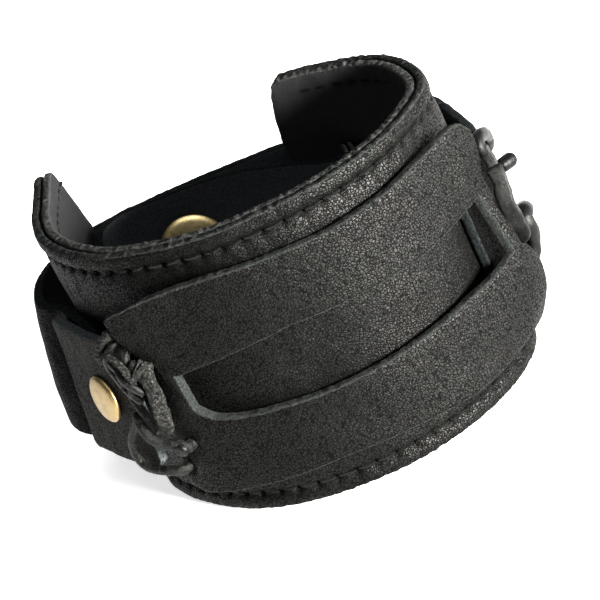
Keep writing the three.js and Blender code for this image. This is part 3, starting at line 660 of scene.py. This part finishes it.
def strand(width, depth, rough, turn, plies, course, seed):
    """One strand of a lace: its points, faces and roughness. It is uneven where it was pulled tight."""
    s, z, stand_off = np.array(course, float).T
    rows, walked = walk_evenly(np.column_stack([CUFF_PATH.place(s, stand_off, z), s]), STRAND_STEP)
    centres, outward = rows[:, :3], np.pad(CUFF_PATH.side(rows[:, 3]), ((0, 0), (0, 1)))
    uneven = 1 + 0.1 * ripples(walked, 0 * walked, 2.6, seed)
    flatten = 1 + 0.1 * ripples(walked, 0 * walked, 3.7, seed + 1)
    from_end = np.minimum(walked, walked[-1] - walked)
    rounding = np.sqrt(np.clip(1 - (1 - np.clip(from_end / (depth / 2), 0, 1)) ** 2, 0.02, 1))
    ridges = None
    if plies:
        def ridges(angles):
            twist = angles[None] - walked[:, None] * 2 * math.pi / PLY_PITCH
            return 0.74 + 0.34 * np.abs(np.cos(plies / 2 * twist))
    swing = turn + 14 * ripples(walked, 0 * walked, 7, seed + 2)
    squareness = 1 if width > 1.3 * depth else 0.1
    half_widths, half_depths = width / 2 * uneven * rounding, depth / 2 * flatten * rounding
    sides = 28 if plies else 20
    points, faces = sweep(centres, outward, half_widths, half_depths, sides, swing, squareness, ridges)
    random = np.random.default_rng(seed + 3)
    points = points + random.normal(0, 0.012 + 0.045 * rough, points.shape)
    ring = len(points) // (len(centres) + 2)
    points[:ring] = centres[0]
    points[-ring:] = centres[-1]
    return points, faces, np.full(len(points), float(rough))


def joined(parts):
    """The points and faces of several parts as those of one."""
    points, faces = zip(*parts)
    counts = np.cumsum([0] + [len(each) for each in points])
    return np.concatenate(points), np.concatenate([each + count for each, count in zip(faces, counts)])


def lace(name, strands, material, seed):
    """All strands of a lace as one piece."""
    made = [strand(*settings, seed + 10 * k) for k, settings in enumerate(strands)]
    points, faces = joined([part[:2] for part in made])
    roughness = np.concatenate([part[2] for part in made])
    return make_piece(name, points, faces, material, {"rough": roughness})


def stitch_row(name, height, stand_off, material, side):
    """A row of short thread stitches round the cuff, each dipping into the leather at both ends."""
    first = round((CUFF_PATH.start + STITCH_MARGINS[0]) / STITCH_PITCH)
    last = round((CUFF_PATH.end - STITCH_MARGINS[1]) / STITCH_PITCH)
    stitches = []
    random = np.random.default_rng(int(abs(height)) + side)
    for centre in np.arange(first, last) * STITCH_PITCH:
        length = STITCH_LENGTH * random.uniform(0.9, 1.1)
        share = np.linspace(-1, 1, 9)
        dip = stand_off - side * STITCH_DIP * share ** 4
        tilt = random.normal(0, 0.08)
        line = CUFF_PATH.place(centre + share * length / 2, dip, height + tilt * share)
        radius = THREAD_RADIUS * np.sqrt(1 - STITCH_TAPER * share ** 4)
        outward = np.pad(CUFF_PATH.side(centre + share * length / 2), ((0, 0), (0, 1)))
        stitches.append(sweep(line, outward, radius, radius, sides=8))
    return make_piece(name, *joined(stitches), material)


def turned(name, profile, centre, axis, material, sides=72):
    """A round piece turned from a profile of radii and heights about an axis."""
    axis = Vector(axis).normalized()
    turn = Vector((0, 0, 1)).rotation_difference(axis).to_matrix()
    angles = np.arange(sides) / sides * 2 * math.pi
    rings = [np.stack([radius * np.cos(angles), radius * np.sin(angles), np.full(sides, height)], axis=1)
             for radius, height in profile]
    points = np.concatenate(rings) @ np.array(turn).T + np.array(centre)
    return make_piece(name, points, ring_faces(len(points), sides), material)


def dome_profile(radius, dome):
    """A thin pressed cap: flat underside, rolled rim and a shallow dome."""
    rim = [(0, 0), (radius - SNAP_RIM, 0)]
    rim += [(radius - SNAP_RIM + SNAP_RIM * math.sin(a), SNAP_RIM - SNAP_RIM * math.cos(a))
            for a in np.linspace(0.3, 2.2, 7)]
    rise = dome - SNAP_RIM_HEIGHT
    crown = [(r * radius, SNAP_RIM_HEIGHT + rise * math.sqrt(1 - r ** 2.4)) for r in np.linspace(0.9, 0, 14)]
    return rim + crown


# Materials

class Nodes:
    """Short forms for the nodes of one material."""

    def __init__(self, name):
        self.material = bpy.data.materials.new(name)
        self.material.use_nodes = True
        self.tree = self.material.node_tree
        self.shader = self.tree.nodes["Principled BSDF"]

    def link(self, value, socket):
        if isinstance(value, bpy.types.NodeSocket):
            self.tree.links.new(value, socket)
        else:
            socket.default_value = value

    def add(self, kind, inputs=None, **settings):
        node = self.tree.nodes.new("ShaderNode" + kind)
        for key, value in settings.items():
            setattr(node, key, value)
        for key, value in (inputs or {}).items():
            self.link(value, node.inputs[key])
        return node

    def shade(self, key, value):
        """One of the shader's own inputs, linked or set."""
        self.link(value, self.shader.inputs[key])

    def place(self):
        """The point in millimetres."""
        texture = self.add("TexCoord").outputs["Object"]
        return self.add("VectorMath", {0: texture, "Scale": 1 / MM}, operation="SCALE").outputs["Vector"]

    def noise(self, place, scale, detail=4, rough=0.55):
        inputs = {"Vector": place, "Scale": scale, "Detail": detail, "Roughness": rough}
        return self.add("TexNoise", inputs).outputs["Fac"]

    def cells(self, place, scale, feature="F1"):
        return self.add("TexVoronoi", {"Vector": place, "Scale": scale}, feature=feature).outputs["Distance"]

    def warp(self, place, scale, amount):
        """The point moved about by noise."""
        push = self.add("TexNoise", {"Vector": place, "Scale": scale, "Detail": 2}).outputs["Color"]
        push = self.add("VectorMath", {0: push, 1: (0.5, 0.5, 0.5)}, operation="SUBTRACT").outputs["Vector"]
        push = self.add("VectorMath", {0: push, "Scale": amount}, operation="SCALE").outputs["Vector"]
        return self.add("VectorMath", {0: place, 1: push}, operation="ADD").outputs["Vector"]

    def math(self, operation, a, b):
        return self.add("Math", {0: a, 1: b}, operation=operation).outputs["Value"]

    def times(self, a, b):
        return self.math("MULTIPLY", a, b)

    def plus(self, a, b):
        return self.math("ADD", a, b)

    def span(self, value, low, high, to_low=0.0, to_high=1.0):
        inputs = {"Value": value, "From Min": low, "From Max": high, "To Min": to_low, "To Max": to_high}
        return self.add("MapRange", inputs, interpolation_type="SMOOTHSTEP").outputs["Result"]

    def mix(self, share, a, b):
        node = self.add("Mix", data_type="RGBA")
        self.link(share, node.inputs[0])
        self.link(a, node.inputs[6])
        self.link(b, node.inputs[7])
        return node.outputs[2]

    def attribute(self, name):
        return self.add("Attribute", attribute_name=name).outputs["Fac"]

    def bump(self, height, distance, below=None):
        inputs = {"Height": height, "Distance": distance * MM, "Strength": 1.0}
        if below is not None:
            inputs["Normal"] = below
        return self.add("Bump", inputs).outputs["Normal"]


def leather_material(name, dark, light, edge_colour, flesh_colour, grain, depth, roughness, shine):
    """Grained leather: glossier pebbles with painted shade in the creases between them and where the shade
    attribute is set, pale raw edges and a matte flesh side.
    """
    n = Nodes(name)
    place = n.place()
    warped = n.warp(place, 0.8, 0.7)
    creases = n.span(n.cells(warped, grain, "DISTANCE_TO_EDGE"), 0.0, 0.26)
    fine_creases = n.span(n.cells(warped, grain * 2.1, "DISTANCE_TO_EDGE"), 0.0, 0.35)
    pores = n.noise(place, grain * 4, 3)
    patches = n.noise(place, 0.07, 3, 0.6)
    edge, flesh, shade = n.attribute("edge"), n.attribute("flesh"), n.attribute("shade")
    colour = n.mix(n.span(patches, 0.4, 0.7), n.mix(0.35, dark, light), light)
    # Painted shade: the grain's creases are painted near black.
    colour = n.mix(n.times(creases, n.span(pores, 0.2, 0.8, 0.5, 1.0)), dark, colour)
    flesh_share = n.span(flesh, 0.6, 0.9)
    fibres = n.noise(n.warp(place, 1.2, 0.8), 2.6, 6, 0.75)
    flesh_tone = n.mix(n.span(fibres, 0.35, 0.7), flesh_colour, n.mix(0.6, flesh_colour, light))
    colour = n.mix(flesh_share, colour, flesh_tone)
    frayed = n.span(n.plus(edge, n.times(n.math("SUBTRACT", fibres, 0.5), 0.9)), 0.45, 0.8)
    colour = n.mix(frayed, colour, n.mix(n.span(fibres, 0.3, 0.66), dark, edge_colour))
    colour = n.mix(shade, colour, (0.001, 0.001, 0.001, 1))
    n.shade("Base Color", colour)
    dull = n.math("MAXIMUM", n.math("MAXIMUM", frayed, flesh_share), shade)
    gloss = n.span(n.plus(creases, n.times(pores, 0.6)), 0.1, 1.4, 0.78, roughness - 0.05)
    n.shade("Roughness", n.math("MAXIMUM", gloss, n.times(dull, 0.9)))
    height = n.plus(n.times(creases, 0.7), n.times(fine_creases, 0.3))
    smooth_height = n.times(height, n.math("SUBTRACT", 1.0, dull))
    normal = n.bump(smooth_height, depth)
    normal = n.bump(n.times(fibres, n.plus(n.times(dull, 0.9), 0.1)), 0.35, normal)
    normal = n.bump(n.noise(place, 0.45, 3), 0.22, normal)
    n.shade("Normal", normal)
    n.shade("Specular IOR Level", n.span(creases, 0, 1, 0.3 * shine, 1.1 * shine))
    return n.material


def lace_material():
    """Black lace: smooth grain side, or speckled pale flesh side where a strand is rough."""
    n = Nodes("lace_leather")
    place = n.place()
    rough = n.attribute("rough")
    fibres = n.noise(n.warp(place, 1.5, 1.2), 2.4, 6, 0.8)
    speckle = n.span(fibres, 0.5, 0.64)
    rough_tone = n.mix(speckle, (0.002, 0.002, 0.0025, 1), (0.06, 0.06, 0.052, 1))
    patches = n.span(n.noise(place, 0.8, 4), 0.4, 0.7)
    smooth_tone = n.mix(patches, (0.0005, 0.0005, 0.0007, 1), (0.002, 0.0022, 0.0022, 1))
    n.shade("Base Color", n.mix(rough, smooth_tone, rough_tone))
    n.shade("Roughness", n.span(rough, 0, 1, 0.3, 0.8))
    normal = n.bump(n.times(fibres, n.span(rough, 0, 1, 0.12, 1.0)), 0.5)
    n.shade("Normal", n.bump(n.noise(place, 9, 3), 0.02, normal))
    n.shade("Specular IOR Level", 0.08)
    return n.material


def thread_material():
    """Waxed black thread, with the twist of its plies."""
    n = Nodes("waxed_thread")
    wave = {"Vector": n.warp(n.place(), 2, 0.2), "Scale": 2.2, "Distortion": 1.5}
    plies = n.add("TexWave", wave).outputs["Fac"]
    n.shade("Base Color", n.mix(plies, (0.001, 0.001, 0.001, 1), (0.005, 0.005, 0.005, 1)))
    n.shade("Normal", n.bump(plies, 0.12))
    n.shade("Roughness", 0.7)
    n.shade("Specular IOR Level", 0.04)
    return n.material


def brass_material(name, pale, dark):
    """Worn brass: brushed, with faint tarnish and tiny dark pits."""
    n = Nodes(name)
    place = n.place()
    tarnish = n.span(n.noise(place, 0.45, 4, 0.6), 0.42, 0.72)
    pits = n.span(n.cells(n.warp(place, 1.5, 0.5), 1.3), 0.05, 0.12)
    colour = n.mix(tarnish, pale, dark)
    n.shade("Base Color", n.mix(pits, (0.1, 0.07, 0.035, 1), colour))
    n.shade("Roughness", n.span(n.noise(place, 2.4, 5, 0.7), 0.3, 0.75, 0.3, 0.5))
    n.shade("Normal", n.bump(n.noise(place, 3.5, 5, 0.7), 0.05))
    n.shade("Metallic", 1.0)
    return n.material


def floor_material():
    """A matte pale sheet with a very faint tooth."""
    n = Nodes("pale_floor")
    place = n.place()
    tone = n.span(n.noise(place, 0.02, 3), 0.3, 0.7)
    n.shade("Base Color", n.mix(tone, (0.92, 0.92, 0.92, 1), (0.95, 0.95, 0.95, 1)))
    n.shade("Emission Color", (1, 1, 1, 1))
    n.shade("Emission Strength", FLOOR_GLOW)
    n.shade("Roughness", 0.9)
    return n.material


def front_brass():
    return brass_material("pale_brass", (0.33, 0.245, 0.115, 1), (0.24, 0.16, 0.07, 1))


# The inside snap's brass, painted far lighter than the caps' brass: painted light, for the little light that
# reaches inside the cuff.
def back_brass():
    return brass_material("brass_painted_lighter", (1, 0.8, 0.4, 1), (0.8, 0.6, 0.26, 1))


def black_leather():
    return leather_material("black_leather", dark=(0.0001, 0.0001, 0.0001, 1),
                            light=(0.0013, 0.00127, 0.001, 1), edge_colour=(0.016, 0.018, 0.0172, 1),
                            flesh_colour=(0.0014, 0.0014, 0.0017, 1), grain=2.1, depth=0.045,
                            roughness=0.45, shine=0.095)


# The straps' leather. Its flesh colour is painted many times lighter than the other leathers' flesh: painted
# light on the straps' inner faces, where little light reaches.
def strap_leather():
    return leather_material("strap_leather", dark=(0.0002, 0.0002, 0.0002, 1),
                            light=(0.0007, 0.0007, 0.0007, 1), edge_colour=(0.01, 0.012, 0.0126, 1),
                            flesh_colour=(0.03, 0.032, 0.036, 1), grain=2.2, depth=0.03,
                            roughness=0.5, shine=0.03)


# The straps' leather, painted many times lighter for the tab: painted light, for the light that falls on the
# tab.
def tab_leather_painted_lighter():
    return leather_material("tab_leather_painted_lighter", dark=(0.0055, 0.0053, 0.005, 1), light=(0.017, 0.0166, 0.0157, 1),
                            edge_colour=(0.06, 0.07, 0.073, 1), flesh_colour=(0.0014, 0.0015, 0.0018, 1),
                            grain=2.2, depth=0.03, roughness=0.6, shine=0.05)


def suede():
    return leather_material("black_suede", dark=(0.005, 0.005, 0.006, 1), light=(0.014, 0.0143, 0.015, 1),
                            edge_colour=(0.04, 0.042, 0.04, 1), flesh_colour=(0.013, 0.0136, 0.0146, 1),
                            grain=2.2, depth=0.04, roughness=0.8, shine=0.06)


# The bracelet

def add_snaps(brass, inside_brass):
    """The snap cap on the tab, and the two caps of the snap that holds the straps together at the back."""
    x, y, z = FRONT_SNAP
    s = TAB_PATH.nearest(x, y)
    seat = TAB_PATH.place(s + FRONT_SNAP_SHIFT, SNAP_SEAT + FRONT_SNAP_LIFT, z)
    front = turned("front_snap_brass", dome_profile(FRONT_SNAP_RADIUS, CAP_DOME), seat,
                   (*TAB_PATH.side(s), SNAP_TILT), brass)
    x, y, z = BACK_SNAP
    s = INNER_PATH.nearest(x, y)
    seat = INNER_PATH.place(s, -STRAP_INNER["thickness"] - LAYER_GAP - INSIDE_CAP_LIFT, z)
    inside = turned("back_snap_brass", dome_profile(BACK_SNAP_RADIUS, INSIDE_CAP_DOME), seat,
                    (*-INNER_PATH.side(s), SNAP_TILT), inside_brass)
    s = OUTER_PATH.nearest(x, y)
    seat = OUTER_PATH.place(s, SNAP_SEAT - BACK_CAP_SINK, z)
    outside = turned("back_snap_cap_brass", dome_profile(BACK_SNAP_RADIUS, CAP_DOME), seat,
                     (*OUTER_PATH.side(s), 0), brass)
    return front, inside, outside


def add_stitches(thread):
    """Rows of stitches along both rims, outside and inside."""
    outside = -STITCH_SINK["outside"]
    inside = STITCH_SINK["inside"] - OUTER_THICKNESS - LAYER_GAP - LINING_THICKNESS
    height = CUFF_HEIGHT / 2 - STITCH_INSET
    for face, stand_off, side in [("outside", outside, 1), ("inside", inside, -1)]:
        for rim, way in [("top", 1), ("bottom", -1)]:
            row = stitch_row(f"stitches_{rim}_{face}", way * height, stand_off, thread, side)
            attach(row, "root")


def build_bracelet():
    """Every piece, with the node it stands for, which is hidden, and the body it rides on. The table also
    lists the slot of each piece's material.
    """
    leather, strap, lining_leather = black_leather(), strap_leather(), suede()
    cord, thread = lace_material(), thread_material()
    outer, lining = cuff_layers(leather, lining_leather)
    overlay = overlay_plate(leather)
    tab = strap_plate("left_tab_leather", TAB_PATH, TAB, TAB_CUT, SQUARE_END, SQUARE_END, tab_leather_painted_lighter(), 31)
    outer_strap = strap_plate("strap_outer_leather", OUTER_PATH, OUTER_STRAP, STRAP_OUTER, SOFT_END, NOSE,
                              strap, 41)
    inner_strap = strap_plate("strap_inner_leather", INNER_PATH, INNER_STRAP, STRAP_INNER, SQUARE_END,
                              SOFT_END, strap, 51)
    left_coil = (1.5, 1.4, 0.1, 0, 0, coil(**LEFT_COIL))
    left_lace = lace("lace_left_strands", [*LEFT_STRANDS, left_coil], cord, 61)
    upper_lace = lace("lace_right_upper_strands", UPPER_RIGHT_STRANDS, cord, 265)
    lower_lace = lace("lace_right_lower_strands", LOWER_RIGHT_STRANDS, cord, 369)
    front_snap, back_snap, back_cap = add_snaps(front_brass(), back_brass())
    standing_for = {
        outer: ("cuff_outer", "black_leather"),
        lining: ("cuff_lining", "black_suede"),
        overlay: ("overlay", "black_leather"),
        tab: ("left_tab", "strap_leather"),
        outer_strap: ("strap_outer", "strap_leather"),
        inner_strap: ("strap_inner", "strap_leather"),
        left_lace: ("lace_left", "lace_leather"),
        upper_lace: ("lace_right_upper", "lace_leather"),
        lower_lace: ("lace_right_lower", "lace_leather"),
        front_snap: ("front_snap", "pale_brass"),
        back_snap: ("back_snap", "pale_brass"),
        back_cap: ("back_snap_cap", "pale_brass"),
    }
    for piece, (node, slot) in standing_for.items():
        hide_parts(node)
        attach(piece, "root")
    add_stitches(thread)


def direction(azimuth, elevation):
    """The way to what stands at an azimuth, counted from the front, and an elevation."""
    a, e = math.radians(azimuth), math.radians(elevation)
    return Vector((math.sin(a) * math.cos(e), -math.cos(a) * math.cos(e), math.sin(e)))


def add_camera():
    """The photograph's camera, with its view shifted so that the oval's middle falls on the aim pixel."""
    middle = Vector((ORIGIN * MM).tolist())
    azimuth, roll = math.radians(CAMERA["azimuth"]), math.radians(CAMERA["roll"])
    back = direction(CAMERA["azimuth"], CAMERA["elevation"])
    level = Vector((math.cos(azimuth), math.sin(azimuth), 0))
    above = back.cross(level)
    right = level * math.cos(roll) + above * math.sin(roll)
    up = above * math.cos(roll) - level * math.sin(roll)
    data = bpy.data.cameras.new("camera")
    data.sensor_width = CAMERA["sensor"]
    data.lens = CAMERA["lens"]
    data.shift_x = (IMAGE_SIZE / 2 - AIM_PIXEL[0]) / IMAGE_SIZE
    data.shift_y = (AIM_PIXEL[1] - IMAGE_SIZE / 2) / IMAGE_SIZE
    data.clip_start = 0.01
    camera = add_object("camera", data)
    turn = Matrix((right, up, back)).transposed().to_4x4()
    camera.matrix_world = Matrix.Translation(middle + back * CAMERA["distance"] * MM) @ turn
    bpy.context.scene.camera = camera


def add_light(name, azimuth, elevation, distance, size, power, colour):
    """A square soft light that looks at the bracelet."""
    data = bpy.data.lights.new(name, "AREA")
    data.size = size
    data.energy = power
    data.color = colour
    light = add_object(name, data)
    towards = direction(azimuth, elevation)
    light.location = Vector((0, 0, CUFF_HEIGHT / 2 * MM)) + towards * distance
    light.rotation_euler = towards.to_track_quat("Z", "Y").to_euler()


def add_floor():
    """A wide sheet that curves up behind the bracelet."""
    mesh = bpy.data.meshes.new("floor")
    reach, rise, side = FLOOR["reach"], FLOOR["rise"], FLOOR["half_width"]
    profile = [(-reach, 0.0), (reach, 0.0)]
    angles = np.linspace(0, math.pi / 2, 24)
    profile += [(reach + rise * math.sin(a), rise - rise * math.cos(a)) for a in angles]
    points = [(x, y, z) for y, z in profile for x in (-side, side)]
    faces = [(2 * k, 2 * k + 1, 2 * k + 3, 2 * k + 2) for k in range(len(profile) - 1)]
    mesh.from_pydata(points, [], faces)
    mesh.shade_smooth()
    mesh.materials.append(floor_material())
    add_object("floor", mesh)


def add_studio():
    """The lights, the floor and a dim white world."""
    world = bpy.data.worlds.new("studio")
    world.use_nodes = True
    background = world.node_tree.nodes["Background"]
    background.inputs["Color"].default_value = (1, 1, 1, 1)
    background.inputs["Strength"].default_value = WORLD_GLOW
    bpy.context.scene.world = world
    bpy.context.scene.view_settings.view_transform = "Standard"
    for name, settings in LIGHTS.items():
        add_light(name, *settings)
    add_floor()


add_camera()
add_studio()
build_bracelet()
